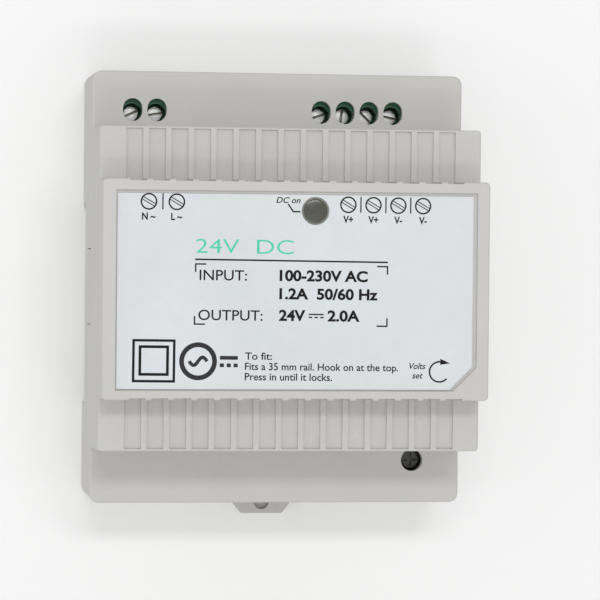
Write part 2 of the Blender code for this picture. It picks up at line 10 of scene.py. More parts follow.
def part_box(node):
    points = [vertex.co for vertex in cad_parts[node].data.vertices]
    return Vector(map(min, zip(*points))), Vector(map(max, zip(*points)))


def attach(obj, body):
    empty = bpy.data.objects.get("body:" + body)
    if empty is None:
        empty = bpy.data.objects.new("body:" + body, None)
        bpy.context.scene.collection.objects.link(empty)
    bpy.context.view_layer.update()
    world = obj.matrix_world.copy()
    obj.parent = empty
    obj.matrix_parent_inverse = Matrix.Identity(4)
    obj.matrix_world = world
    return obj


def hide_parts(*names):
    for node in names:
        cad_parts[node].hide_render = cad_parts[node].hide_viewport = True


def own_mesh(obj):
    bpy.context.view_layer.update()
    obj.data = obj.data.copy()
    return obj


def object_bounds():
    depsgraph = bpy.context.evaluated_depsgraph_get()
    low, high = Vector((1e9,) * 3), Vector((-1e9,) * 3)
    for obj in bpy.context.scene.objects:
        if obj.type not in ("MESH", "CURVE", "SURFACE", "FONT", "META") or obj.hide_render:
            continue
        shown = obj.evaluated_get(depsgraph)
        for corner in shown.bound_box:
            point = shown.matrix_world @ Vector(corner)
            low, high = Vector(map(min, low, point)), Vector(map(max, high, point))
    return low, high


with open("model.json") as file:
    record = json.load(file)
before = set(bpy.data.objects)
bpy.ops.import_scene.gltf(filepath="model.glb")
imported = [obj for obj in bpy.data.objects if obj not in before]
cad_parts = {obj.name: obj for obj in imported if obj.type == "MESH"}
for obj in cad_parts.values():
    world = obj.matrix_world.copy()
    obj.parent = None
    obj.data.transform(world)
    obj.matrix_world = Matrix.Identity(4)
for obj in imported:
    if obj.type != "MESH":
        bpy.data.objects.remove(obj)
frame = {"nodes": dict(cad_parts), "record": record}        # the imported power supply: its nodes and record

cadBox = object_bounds()
mm = 0.001
nodes = frame["nodes"]
print("frame loaded:", len(nodes), "nodes")


# sRGB hex to linear RGBA: below 0.04045 a straight line, above it a power of 2.4
def linearColour(hexCode):
    srgb = np.array([int(hexCode[i:i + 2], 16) for i in (1, 3, 5)]) / 255
    linear = np.where(srgb <= 0.04045, srgb / 12.92, ((srgb + 0.055) / 1.055) ** 2.4)
    return (*linear.tolist(), 1.0)


# adds a node; an input is either a value or another node's output socket
def addNode(tree, kind, inputs=None, **settings):
    node = tree.nodes.new(kind)
    for key, value in settings.items():
        setattr(node, key, value)
    for name, value in (inputs or {}).items():
        if isinstance(value, bpy.types.NodeSocket):
            tree.links.new(value, node.inputs[name])
        else:
            node.inputs[name].default_value = value
    return node


# a new piece from arrays in metres, riding on its body
def meshPiece(name, points, faces, body, material, smoothAngle=40):
    mesh = bpy.data.meshes.new(name)
    mesh.from_pydata(np.asarray(points, float).tolist(), [], [list(map(int, face)) for face in faces])
    cleaner = bmesh.new()
    cleaner.from_mesh(mesh)
    bmesh.ops.remove_doubles(cleaner, verts=cleaner.verts, dist=1e-7)
    bmesh.ops.dissolve_degenerate(cleaner, edges=cleaner.edges, dist=1e-8)
    bmesh.ops.recalc_face_normals(cleaner, faces=cleaner.faces)
    cleaner.to_mesh(mesh)
    cleaner.free()
    mesh.shade_smooth()
    mesh.set_sharp_from_angle(angle=math.radians(smoothAngle))
    piece = bpy.data.objects.new(name, mesh)
    bpy.context.scene.collection.objects.link(piece)
    mesh.materials.append(material)
    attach(piece, body)
    return piece


# quads of a grid whose points are stored row by row: each joins its point to the next row and column
def gridFaces(rows, columns, closedRows=False, closedColumns=False):
    rowCount, columnCount = rows - (not closedRows), columns - (not closedColumns)
    r, c = np.meshgrid(np.arange(rowCount), np.arange(columnCount), indexing="ij")
    nextR, nextC = (r + 1) % rows, (c + 1) % columns
    quads = np.stack([r * columns + c, r * columns + nextC, nextR * columns + nextC, nextR * columns + c], -1)
    return quads.reshape(-1, 4)


# A finish on Object coordinates. Two noises, a grain and a slow drift, vary the colour and the roughness,
# and the grain drives the bump. Sizes are in millimetres.
def surfaceMaterial(name, look):
    material = bpy.data.materials.new(name)
    material.use_nodes = True
    tree = material.node_tree
    shader = tree.nodes["Principled BSDF"]
    place = addNode(tree, "ShaderNodeTexCoord").outputs["Object"]
    if look.get("stretch"):
        stretched = addNode(tree, "ShaderNodeMapping", {"Vector": place, "Scale": look["stretch"]})
        place = stretched.outputs["Vector"]
    grain = addNode(tree, "ShaderNodeTexNoise", {"Vector": place, "Scale": 1 / (look["grainMm"] * mm),
                                                 "Detail": 3.0, "Roughness": 0.55})
    drift = addNode(tree, "ShaderNodeTexNoise", {"Vector": place, "Scale": 1 / (look["driftMm"] * mm),
                                                 "Detail": 2.0, "Roughness": 0.5})
    blend = addNode(tree, "ShaderNodeMix", {0: look.get("grainShare", 0.4), 2: drift.outputs["Fac"],
                                            3: grain.outputs["Fac"]}, data_type="FLOAT")
    colour = addNode(tree, "ShaderNodeValToRGB", {"Fac": blend.outputs[0]})
    ramp = colour.color_ramp
    ramp.elements[0].position, ramp.elements[1].position = look.get("ramp", (0.35, 0.65))
    ramp.elements[0].color = linearColour(look["dark"])
    ramp.elements[1].color = linearColour(look["light"])
    low, high = look["roughness"]
    rough = addNode(tree, "ShaderNodeMapRange", {"Value": grain.outputs["Fac"], "From Min": 0.35,
                                                 "From Max": 0.65, "To Min": low, "To Max": high})
    bump = addNode(tree, "ShaderNodeBump", {"Height": grain.outputs["Fac"], "Strength": look.get("bump", 0.2),
                                            "Distance": look.get("bumpMm", 0.02) * mm})
    tree.links.new(colour.outputs["Color"], shader.inputs["Base Color"])
    tree.links.new(rough.outputs["Result"], shader.inputs["Roughness"])
    tree.links.new(bump.outputs["Normal"], shader.inputs["Normal"])
    for socket, value in look.get("shader", {}).items():
        shader.inputs[socket].default_value = value
    return material


caseLook = {  # ABS, injection moulded in a spark-eroded tool: an even satin with a grain that is just visible
    "dark": "#CAC9C5", "light": "#D0CFCC", "grainMm": 0.45, "driftMm": 14.0, "grainShare": 0.55,
    "roughness": (0.46, 0.60), "bump": 0.28, "bumpMm": 0.03, "shader": {"IOR": 1.53}}
labelLook = {  # polyester film with a satin laminate: cool white, nearly smooth, a faint orange peel
    "dark": "#DCE1E5", "light": "#E2E6EA", "grainMm": 1.6, "driftMm": 22.0, "grainShare": 0.25,
    "roughness": (0.30, 0.38), "bump": 0.10, "bumpMm": 0.02, "shader": {"IOR": 1.57}}
inkLook = {  # screen printing ink: a dense black that dries slightly uneven
    "dark": "#050507", "light": "#101114", "grainMm": 0.5, "driftMm": 5.0, "roughness": (0.50, 0.62),
    "bump": 0.1, "bumpMm": 0.01, "shader": {"IOR": 1.5, "Specular IOR Level": 0.22}}
tealInkLook = {  # the same ink in a light sea green
    "dark": "#3ECBA2", "light": "#55DDB8", "grainMm": 0.5, "driftMm": 5.0, "roughness": (0.38, 0.52),
    "bump": 0.1, "bumpMm": 0.01, "shader": {"IOR": 1.5}}
signInkLook = {  # the pictograms' charcoal, printed as a halftone tint
    "dark": "#232427", "light": "#2E2F33", "grainMm": 0.5, "driftMm": 3.0, "roughness": (0.50, 0.62),
    "bump": 0.1, "bumpMm": 0.01, "shader": {"IOR": 1.5, "Specular IOR Level": 0.3}}
lensLook = {  # smoked acrylic, polished: dark olive with a clear gloss over it
    "dark": "#45473F", "light": "#4D4F46", "grainMm": 1.2, "driftMm": 3.0, "roughness": (0.20, 0.30),
    "bump": 0.04, "bumpMm": 0.01, "shader": {"IOR": 1.49, "Coat Weight": 0.3, "Coat Roughness": 0.08}}
lensRimHighlightLook = {  # the lens's turned rim: the same acrylic, painted lighter as a highlight where light gathers in its edge
    "dark": "#75776D", "light": "#85877C", "grainMm": 0.4, "driftMm": 2.0, "roughness": (0.18, 0.28),
    "bump": 0.05, "bumpMm": 0.01, "shader": {"IOR": 1.49}}
greenLook = {  # glass-filled polyamide, moulded: deep green with a soft gloss
    "dark": "#04603F", "light": "#08724D", "grainMm": 0.5, "driftMm": 3.0, "roughness": (0.30, 0.42),
    "bump": 0.15, "bumpMm": 0.02, "shader": {"IOR": 1.53}}
zincLook = {  # steel screws, zinc plated and chromated: bright, slightly clouded, fine scratches
    "dark": "#B9BABB", "light": "#E0E0DD", "grainMm": 0.22, "driftMm": 1.2, "roughness": (0.30, 0.46),
    "bump": 0.35, "bumpMm": 0.04, "shader": {"Metallic": 1.0}}
slotShadeLook = {  # the same plating inside the slots, painted darker and duller as the shade that falls in them
    "dark": "#77746E", "light": "#97948D", "grainMm": 0.22, "driftMm": 1.0, "roughness": (0.40, 0.60),
    "bump": 0.3, "bumpMm": 0.03, "shader": {"Metallic": 1.0}}
nickelLook = {  # pressed brass cages, nickel plated
    "dark": "#B5B0A4", "light": "#CFCABD", "grainMm": 0.3, "driftMm": 1.5, "roughness": (0.22, 0.34),
    "bump": 0.12, "bumpMm": 0.01, "shader": {"Metallic": 1.0}}
springLook = {  # patented spring wire, drawn: grey steel with lengthwise drawing marks
    "dark": "#8C8D8F", "light": "#B4B5B6", "grainMm": 0.15, "driftMm": 1.0, "roughness": (0.22, 0.36),
    "bump": 0.2, "bumpMm": 0.01, "shader": {"Metallic": 1.0}}

innerLooks = {  # the sealed pieces behind the case, one look for each of the record's slots
    "light_pipe": ("clear_acrylic_turned", {"dark": "#D6DAD8", "light": "#E4E8E6", "grainMm": 0.6,
                   "driftMm": 4.0, "roughness": (0.05, 0.12), "shader": {"IOR": 1.49}}),
    "led": ("green_epoxy_cast", {"dark": "#3D8F52", "light": "#58A869", "grainMm": 0.5, "driftMm": 2.0,
            "roughness": (0.10, 0.20), "shader": {"IOR": 1.54}}),
    "board": ("solder_mask_sprayed", {"dark": "#1D5A34", "light": "#2A6E42", "grainMm": 0.8, "driftMm": 9.0,
              "roughness": (0.30, 0.45), "bump": 0.15}),
    "insulation": ("fishpaper_pressed", {"dark": "#D3CDBD", "light": "#E1DCCE", "grainMm": 0.5,
                   "driftMm": 6.0, "roughness": (0.60, 0.75), "bump": 0.3}),
    "trimmer_grey": ("dark_polyester_moulded", {"dark": "#3C3D36", "light": "#55564C", "grainMm": 0.5,
                     "driftMm": 1.4, "roughness": (0.30, 0.45), "bump": 0.25}),
    "blue_coating": ("blue_epoxy_dipped", {"dark": "#1F4C9E", "light": "#2D60B8", "grainMm": 0.5,
                     "driftMm": 3.0, "roughness": (0.30, 0.45)}),
    "white_moulding": ("white_nylon_moulded", {"dark": "#D8D7D0", "light": "#E6E5DF", "grainMm": 0.3,
                    "driftMm": 1.5, "roughness": (0.40, 0.55)}),
    "black_moulding": ("black_epoxy_transfer_moulded", {"dark": "#1B1B1C", "light": "#27272A", "grainMm": 0.3,
                       "driftMm": 4.0, "roughness": (0.50, 0.65), "bump": 0.3}),
    "fuse_brown": ("brown_phenolic_moulded", {"dark": "#4B2A1B", "light": "#5F3826", "grainMm": 0.4,
                   "driftMm": 3.0, "roughness": (0.35, 0.50)}),
    "yellow_tape": ("polyester_tape_wound", {"dark": "#E0A83A", "light": "#F0BD55", "grainMm": 0.8,
                    "driftMm": 6.0, "roughness": (0.25, 0.40)}),
    "ferrite": ("ferrite_sintered", {"dark": "#2B2C2E", "light": "#3B3C3F", "grainMm": 0.3, "driftMm": 3.0,
                "roughness": (0.50, 0.70), "bump": 0.35}),
    "winding_copper": ("copper_wire_enamelled", {"dark": "#9C5127", "light": "#C27240", "grainMm": 0.4,
                       "driftMm": 2.0, "roughness": (0.25, 0.40), "shader": {"Metallic": 1.0}}),
    "capacitor_sleeve": ("pvc_sleeve_shrunk", {"dark": "#23252E", "light": "#30333E", "grainMm": 0.5,
                         "driftMm": 5.0, "roughness": (0.30, 0.45)}),
    "heatsink_aluminium": ("aluminium_extruded", {"dark": "#C4C5C7", "light": "#DADBDC", "grainMm": 0.3,
                           "driftMm": 5.0, "stretch": (1.0, 0.08, 1.0), "roughness": (0.30, 0.45),
                           "shader": {"Metallic": 1.0}}),
}

casePlastic = surfaceMaterial("abs_case_spark_eroded", caseLook)
labelFilm = surfaceMaterial("polyester_film_laminated", labelLook)
blackInk = surfaceMaterial("black_ink_screen_printed", inkLook)
tealInk = surfaceMaterial("teal_ink_screen_printed", tealInkLook)
signInk = surfaceMaterial("charcoal_ink_screen_printed", signInkLook)
smokedLens = surfaceMaterial("smoked_acrylic_polished", lensLook)
lensRimPaintedHighlight = surfaceMaterial("acrylic_rim_painted_highlight", lensRimHighlightLook)
greenPolyamide = surfaceMaterial("green_polyamide_moulded", greenLook)
zincSteel = surfaceMaterial("zinc_plated_steel", zincLook)
slotShadeSteel = surfaceMaterial("zinc_plated_steel_slot_shade", slotShadeLook)
nickelBrass = surfaceMaterial("nickel_plated_brass_pressed", nickelLook)
springSteel = surfaceMaterial("spring_wire_drawn", springLook)
print("materials made")


# Cover, base, latch and terminal blocks, with their sharp moulded edges rounded. Points closer than mergeMm
# are one, and faces whose normals and distances agree to a planeTurn and a planeMm lie in one plane.
edgeSoftening = {"coverMm": 0.14, "baseMm": 0.16, "latchMm": 0.20, "blockMm": 0.10, "segments": 2,
                 "sharpDegrees": 40, "mergeMm": 0.002, "flatDegrees": 0.1, "planeTurn": 0.0025,
                 "planeMm": 0.02, "rimFrontMm": -48.5, "rimHeightMm": 21.4}
sharpAngle = math.radians(edgeSoftening["sharpDegrees"])


# A corner's normal is the mean over the faces that meet there less than the sharp angle apart, each weighted
# by the square of the whole area in its plane, so that flats shade flat and rounded edges turn between them.
def shadeByPlane(mesh):
    faceCount, corner = len(mesh.polygons), np.zeros(len(mesh.loops), int)
    normal, middle, area = np.zeros(faceCount * 3), np.zeros(faceCount * 3), np.zeros(faceCount)
    sides = np.zeros(faceCount, int)
    mesh.loops.foreach_get("vertex_index", corner)
    for key, values in (("normal", normal), ("center", middle), ("area", area), ("loop_total", sides)):
        mesh.polygons.foreach_get(key, values)
    normal, middle = normal.reshape(-1, 3), middle.reshape(-1, 3)
    face = np.repeat(np.arange(faceCount), sides)
    turns = normal / edgeSoftening["planeTurn"]
    distances = (normal * middle).sum(1) / (edgeSoftening["planeMm"] * mm)
    planes = np.column_stack([turns, distances])
    plane = np.unique(planes.round(), axis=0, return_inverse=True)[1].ravel()
    weight = np.maximum(np.bincount(plane, area)[plane] / area.sum(), 1e-9) ** 2

    # every corner paired with each corner at the same point
    order = np.argsort(corner, kind="stable")
    meeting = np.bincount(corner)
    first = np.cumsum(meeting) - meeting
    pairs = meeting[corner[order]]
    here = np.repeat(order, pairs)
    step = np.arange(len(here)) - np.repeat(np.cumsum(pairs) - pairs, pairs)
    there = order[first[corner[here]] + step]
    near = (normal[face[here]] * normal[face[there]]).sum(1) > math.cos(sharpAngle)
    here, there = here[near], there[near]
    total = np.zeros((len(corner), 3))
    np.add.at(total, here, weight[face[there], None] * normal[face[there]])
    total /= np.linalg.norm(total, axis=1, keepdims=True)
    mesh.normals_split_custom_set(total.tolist())


# the plate's front rim, already rounded and just nicked by the grooves, is too fine to round again
def onPlateRim(edge):
    middle = (edge.verts[0].co + edge.verts[1].co) / 2
    return middle.y < edgeSoftening["rimFrontMm"] * mm and abs(middle.z) > edgeSoftening["rimHeightMm"] * mm


# a copy of a CAD node with its loose triangles joined and every sharp edge rounded
def softenedCopy(nodeName, name, widthMm, material, body):
    cleaner = bmesh.new()
    cleaner.from_mesh(nodes[nodeName].data)
    bmesh.ops.remove_doubles(cleaner, verts=cleaner.verts, dist=edgeSoftening["mergeMm"] * mm)
    flatAngle = math.radians(edgeSoftening["flatDegrees"])
    bmesh.ops.join_triangles(cleaner, faces=cleaner.faces, angle_face_threshold=flatAngle,
                             angle_shape_threshold=math.pi)
    sharp = [edge for edge in cleaner.edges if edge.calc_face_angle(0) > sharpAngle and not onPlateRim(edge)]
    bmesh.ops.bevel(cleaner, geom=sharp, offset=widthMm * mm, offset_type="OFFSET", profile=0.5,
                    segments=edgeSoftening["segments"], affect="EDGES", clamp_overlap=True,
                    miter_outer="SHARP", material=-1)
    mesh = bpy.data.meshes.new(name)
    cleaner.to_mesh(mesh)
    cleaner.free()
    mesh.materials.append(material)
    mesh.shade_smooth()
    shadeByPlane(mesh)
    piece = bpy.data.objects.new(name, mesh)
    bpy.context.scene.collection.objects.link(piece)
    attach(piece, body)
    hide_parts(nodeName)


softenedCopy("cover", "cover_shell", edgeSoftening["coverMm"], casePlastic, "housing")
softenedCopy("base", "base_shell", edgeSoftening["baseMm"], casePlastic, "housing")
softenedCopy("din_latch", "latch_slider", edgeSoftening["latchMm"], casePlastic, "latch")
for blockName in ("terminal_block_ac", "terminal_block_dc"):
    softenedCopy(blockName, blockName + "_body", edgeSoftening["blockMm"], greenPolyamide, "housing")
print("case and terminal blocks softened")


# terminal screws: sizes in millimetres, and each slot's turn from upright in degrees
screwSettings = {"crown": 0.05, "chamfer": 0.20, "chamferSlope": 0.8, "slotWidth": 0.56, "slotDepth": 0.80,
                 "headHeight": 1.2, "shankRadius": 1.1, "slotTurns": (65, 80, 72, 8, -45, 103),
                 "sideSteps": 15, "slotSteps": 5, "lengthSteps": 33, "shankSides": 32}


# A grid of x across the slot and t along it, with z = t times the square root of R squared less x squared,
# so the slot's walls run straight. The face is a shallow crown, its height falling with the square of the
# radius, with a chamfered rim, and the columns within the slot sit lower.
def slottedScrew(name, number, settings):
    low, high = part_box(name)
    centreX, centreZ, front = (low.x + high.x) / 2, (low.z + high.z) / 2, low.y
    radius, half = (high.x - low.x) / 2, settings["slotWidth"] * mm / 2
    sideSteps, slotSteps, lengthSteps = settings["sideSteps"], settings["slotSteps"], settings["lengthSteps"]
    side = np.linspace(-radius, -half, sideSteps)
    x = np.concatenate([side, np.linspace(-half, half, slotSteps), -side[::-1]])
    inSlot = np.zeros(len(x), bool)
    inSlot[sideSteps:sideSteps + slotSteps] = True
    t = np.linspace(-1, 1, lengthSteps)
    gridX, gridT = np.meshgrid(x, t, indexing="ij")
    gridZ = gridT * np.sqrt(np.maximum(radius ** 2 - gridX ** 2, 0))
    reach = np.hypot(gridX, gridZ) / radius
    chamfered = np.maximum((reach - 1) * radius + settings["chamfer"] * mm, 0)
    depth = settings["crown"] * mm * reach ** 2 + settings["chamferSlope"] * chamfered
    depth = np.where(inSlot[:, None], settings["slotDepth"] * mm, depth)
    under = np.full((len(x), 1), settings["headHeight"] * mm)
    depth = np.hstack([under, depth, under])
    gridX = np.hstack([gridX[:, :1], gridX, gridX[:, -1:]])
    gridZ = np.hstack([gridZ[:, :1], gridZ, gridZ[:, -1:]])
    turn = math.radians(settings["slotTurns"][number])
    points = np.stack([centreX + gridX * math.cos(turn) + gridZ * math.sin(turn), front + depth,
                       centreZ - gridX * math.sin(turn) + gridZ * math.cos(turn)], -1).reshape(-1, 3)
    headFaces = gridFaces(len(x), lengthSteps + 2, closedColumns=True)
    sides = settings["shankSides"]
    angle = np.linspace(0, 2 * np.pi, sides, endpoint=False)
    along = np.array([settings["headHeight"] * mm, high.y - front])
    shankRadius = settings["shankRadius"] * mm
    shank = np.stack([np.broadcast_to(centreX + shankRadius * np.cos(angle), (2, sides)),
                      np.broadcast_to((front + along)[:, None], (2, sides)),
                      np.broadcast_to(centreZ + shankRadius * np.sin(angle), (2, sides))], -1).reshape(-1, 3)
    start = len(points)
    faces = headFaces.tolist() + (gridFaces(2, sides, closedColumns=True) + start).tolist()
    faces += [list(range(start, start + sides)), list(range(start + sides, start + 2 * sides))]
    return np.vstack([points, shank]), faces


# gives the faces inside the slot the plating with painted shade; across is the distance from the slot's
# middle line
def paintSlotShade(screw, name, number, settings):
    low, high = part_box(name)
    mesh = screw.data
    middle = np.zeros(len(mesh.polygons) * 3)
    mesh.polygons.foreach_get("center", middle)
    x, y, z = middle.reshape(-1, 3).T
    turn = math.radians(settings["slotTurns"][number])
    across = (x - (low.x + high.x) / 2) * math.cos(turn) - (z - (low.z + high.z) / 2) * math.sin(turn)
    reach, floor = settings["slotWidth"] * mm / 2 + 1e-6, low.y + settings["slotDepth"] * mm + 1e-6
    inside = (np.abs(across) < reach) & (y < floor)
    mesh.materials.append(slotShadeSteel)
    mesh.polygons.foreach_set("material_index", inside.astype(int))


for number in range(6):
    screwNode = f"terminal_screw_{number + 1}"
    points, faces = slottedScrew(screwNode, number, screwSettings)
    screw = meshPiece(f"slotted_screw_{number + 1}", points, faces, f"screw_{number + 1}",
                      zincSteel, 30)
    # the faces inside each slot are painted darker, a painted shade
    paintSlotShade(screw, screwNode, number, screwSettings)
    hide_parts(screwNode)
print("terminal screws cut")


# latch spring, close wound at its ends
springSettings = {"turns": 7, "stepsPerTurn": 28, "sides": 12, "wire": 0.21, "endShare": 0.55}


# A tube carried along a helix: the angle grows evenly and the height lags it by a sine, which closes the
# end turns. Each ring lies across the path, on the outward direction and its cross product with the path.
def coilSpring(name, settings):
    low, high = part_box(name)
    wire = settings["wire"] * mm
    radius = (high.x - low.x) / 2 - wire
    share = np.linspace(0, 1, settings["turns"] * settings["stepsPerTurn"] + 1)
    angle = 2 * np.pi * settings["turns"] * share
    eased = share - settings["endShare"] * np.sin(2 * np.pi * share) / (2 * np.pi)
    centreX, centreY = (low.x + high.x) / 2, (low.y + high.y) / 2
    path = np.stack([centreX + radius * np.cos(angle), centreY + radius * np.sin(angle),
                     low.z + wire + (high.z - low.z - 2 * wire) * eased], -1)
    outward = np.stack([np.cos(angle), np.sin(angle), np.zeros_like(angle)], -1)
    along = np.gradient(path, axis=0)
    along /= np.linalg.norm(along, axis=1, keepdims=True)
    across = np.cross(along, outward)
    ring = np.linspace(0, 2 * np.pi, settings["sides"], endpoint=False)
    points = path[:, None] + wire * (np.cos(ring)[None, :, None] * outward[:, None]
                                     + np.sin(ring)[None, :, None] * across[:, None])
    faces = gridFaces(len(path), settings["sides"], closedColumns=True).tolist()
    last = (len(path) - 1) * settings["sides"]
    faces += [list(range(settings["sides"])), list(range(last, last + settings["sides"]))]
    return points.reshape(-1, 3), faces


points, faces = coilSpring("latch_spring", springSettings)
spring = meshPiece("coil_spring", points, faces, "housing", springSteel)
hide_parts("latch_spring")
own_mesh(spring)
print("spring wound")


# pilot window: a shallow smoked lens inside a thin rim, whose colour is a painted highlight
windowSettings = {"domeMm": 0.20, "setBackMm": 0.02, "domeSteps": 12, "shoulderMm": (0.45, 0.5),
                  "stemRadiusMm": 2.0, "rimOuterMm": 2.62, "rimInnerMm": 2.36, "rimRiseMm": 0.10,
                  "rimBackMm": 0.05, "rimSteps": 24, "sides": 72}


# a profile of (radius, y) turned about a line along Y; a radius of zero closes a pole
def turnedSurface(profile, centreX, centreZ, sides):
    radius, y = np.array(profile, float).T
    angle = np.linspace(0, 2 * np.pi, sides, endpoint=False)
    points = np.stack([centreX + radius[:, None] * np.cos(angle),
                       np.broadcast_to(y[:, None], (len(y), sides)),
                       centreZ + radius[:, None] * np.sin(angle)], -1)
    return points.reshape(-1, 3), gridFaces(len(y), sides, closedColumns=True)


lensLow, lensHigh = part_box("led_window")
lensX, lensZ = (lensLow.x + lensHigh.x) / 2, (lensLow.z + lensHigh.z) / 2
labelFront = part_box("rating_label")[0].y
rimInner, rimOuter = windowSettings["rimInnerMm"] * mm, windowSettings["rimOuterMm"] * mm
domeBase, domeRise = labelFront + windowSettings["setBackMm"] * mm, windowSettings["domeMm"] * mm
domeProfile = [(rimInner * math.sin(a), domeBase - domeRise * math.cos(a))
               for a in np.linspace(0, np.pi / 2, windowSettings["domeSteps"])]
stem = windowSettings["stemRadiusMm"] * mm
shoulderFront, shoulderBack = (lensLow.y + depth * mm for depth in windowSettings["shoulderMm"])
domeProfile += [(rimInner, shoulderFront), (stem, shoulderBack), (stem, lensHigh.y), (0.0, lensHigh.y)]
points, faces = turnedSurface(domeProfile, lensX, lensZ, windowSettings["sides"])
lens = meshPiece("smoked_lens", points, faces, "housing", smokedLens)
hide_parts("led_window")
rimMiddle, rimHalf = (rimInner + rimOuter) / 2, (rimOuter - rimInner) / 2
rimBase, rimRise = labelFront + windowSettings["rimBackMm"] * mm, windowSettings["rimRiseMm"] * mm
rimProfile = [(rimMiddle + rimHalf * math.cos(a), rimBase - rimRise * math.sin(a))
              for a in np.linspace(0, 2 * np.pi, windowSettings["rimSteps"], endpoint=False)]
points, _ = turnedSurface(rimProfile, lensX, lensZ, windowSettings["sides"])
faces = gridFaces(len(rimProfile), windowSettings["sides"], closedRows=True, closedColumns=True)
# the rim's colour is a painted highlight: the same acrylic as the lens, painted lighter
meshPiece("lens_rim", points, faces, "housing", lensRimPaintedHighlight)
print("pilot window turned")


# The print lies flat on the label. Its shapes are drawn in millimetres, x to the right and z up from the
# middle of the case, and gathered on one sheet for each ink.
printSettings = {"tiltDegrees": -0.35, "inkMm": 0.02, "liftMm": 0.004, "capShare": 0.69, "widthShare": 0.86}


def newSheet():
    return {"points": [], "faces": [], "count": 0}


def addShape(sheet, points, faces):
    sheet["points"].append(np.asarray(points, float))
    sheet["faces"] += [[sheet["count"] + int(i) for i in face] for face in faces]
    sheet["count"] += len(points)


# A closed slab of ink along a path: each point moves half the width to either side, along the bisector of
# its two neighbours, further at a corner so that the edges stay parallel, up to two and a half times as far.
def stroke(sheet, path, width, closed=False):
    path = np.asarray(path, float)
    if closed:
        before, after = np.roll(path, 1, 0), np.roll(path, -1, 0)
    else:
        before = np.vstack([2 * path[0] - path[1], path[:-1]])
        after = np.vstack([path[1:], 2 * path[-1] - path[-2]])
    first, second = path - before, after - path
    first /= np.linalg.norm(first, axis=1, keepdims=True)
    second /= np.linalg.norm(second, axis=1, keepdims=True)
    normal = np.stack([-(first + second)[:, 1], (first + second)[:, 0]], -1)
    normal /= np.linalg.norm(normal, axis=1, keepdims=True)
    square = np.stack([-first[:, 1], first[:, 0]], -1)
    normal *= (width / 2) / np.maximum((normal * square).sum(1, keepdims=True), 0.4)
    count = len(path)
    flat = np.stack([path + normal, path - normal, path - normal, path + normal], 1)
    lift = np.broadcast_to(np.array([1.0, 1.0, 0.0, 0.0])[:, None], (count, 4, 1))
    faces = gridFaces(count, 4, closedRows=closed, closedColumns=True).tolist()
    if not closed:
        faces += [[0, 1, 2, 3], [4 * count - 4, 4 * count - 3, 4 * count - 2, 4 * count - 1]]
    addShape(sheet, np.concatenate([flat, lift], -1).reshape(-1, 3), faces)


# a filled outline: its top, its underside and a quad for each side
def patch(sheet, outline):
    count = len(outline)
    top = np.column_stack([outline, np.ones(count)])
    under = np.column_stack([outline, np.zeros(count)])
    sides = [[i, (i + 1) % count, (i + 1) % count + count, i + count] for i in range(count)]
    ends = [list(range(count)), list(range(2 * count - 1, count - 1, -1))]
    addShape(sheet, np.vstack([top, under]), ends + sides)


# Letters of a given capital height, drawn to a width where one is given. x is the left edge, or the centre,
# and z the middle of the capitals; weight thickens the strokes.
def letters(sheet, words, x, z, capHeight, width=None, centred=False, weight=0.0, slant=0.0):
    curve = bpy.data.curves.new("letters", "FONT")
    curve.body, curve.offset, curve.shear = words, weight, slant
    curve.extrude, curve.resolution_u = 0.5, 4
    holder = bpy.data.objects.new("letters", curve)
    bpy.context.scene.collection.objects.link(holder)
    bpy.context.view_layer.update()
    mesh = bpy.data.meshes.new_from_object(holder.evaluated_get(bpy.context.evaluated_depsgraph_get()))
    flat = np.zeros(len(mesh.vertices) * 3)
    mesh.vertices.foreach_get("co", flat)
    flat = flat.reshape(-1, 3)
    scale = capHeight / printSettings["capShare"]
    low, high = flat[:, 0].min(), flat[:, 0].max()
    scaleX = width / (high - low) if width else scale * printSettings["widthShare"]
    left = x - (high - low) * scaleX / 2 if centred else x
    points = np.stack([left + (flat[:, 0] - low) * scaleX, z - capHeight / 2 + flat[:, 1] * scale,
                       flat[:, 2] + 0.5], -1)
    addShape(sheet, points, [list(polygon.vertices) for polygon in mesh.polygons])
    bpy.data.objects.remove(holder)
    bpy.data.meshes.remove(mesh)


# turns the sheet by the print's tilt, x and z by the cosine and sine, and lays it on the label's front
def laySheet(sheet, name, material):
    points = np.vstack(sheet["points"])
    tilt = math.radians(printSettings["tiltDegrees"])
    x = points[:, 0] * math.cos(tilt) - points[:, 1] * math.sin(tilt)
    z = points[:, 0] * math.sin(tilt) + points[:, 1] * math.cos(tilt)
    y = labelFront / mm + printSettings["liftMm"] - printSettings["inkMm"] * points[:, 2]
    meshPiece(name, np.stack([x, y, z], -1) * mm, sheet["faces"], "housing", material)


# points on a circle from one angle to another, in degrees
def arcPath(x, z, radius, start, end, steps):
    turn = np.radians(np.linspace(start, end, steps))
    return np.stack([x + radius * np.cos(turn), z + radius * np.sin(turn)], -1)


def ringPath(x, z, radius, steps=48):
    return arcPath(x, z, radius, 0, 360, steps + 1)[:-1]


def squarePath(x, z, half):
    return [(x - half, z - half), (x + half, z - half), (x + half, z + half), (x - half, z + half)]


terminalPrint = {"lineMm": 0.30, "radiusMm": 1.52, "slotHalfMm": 0.26, "slotDegrees": -30, "symbolZ": 17.27,
                 "letterZ": 14.35, "capMm": 1.35, "weight": 0.03, "slotLineMm": 0.18,
                 "dividerMm": (-1.55, 1.65), "dividerLineMm": 0.255,
                 "groups": (((-30.0, -24.45), ("N ~", "L ~")),
                            ((10.0, 15.1, 20.15, 25.2), ("V+", "V+", "V-", "V-")))}


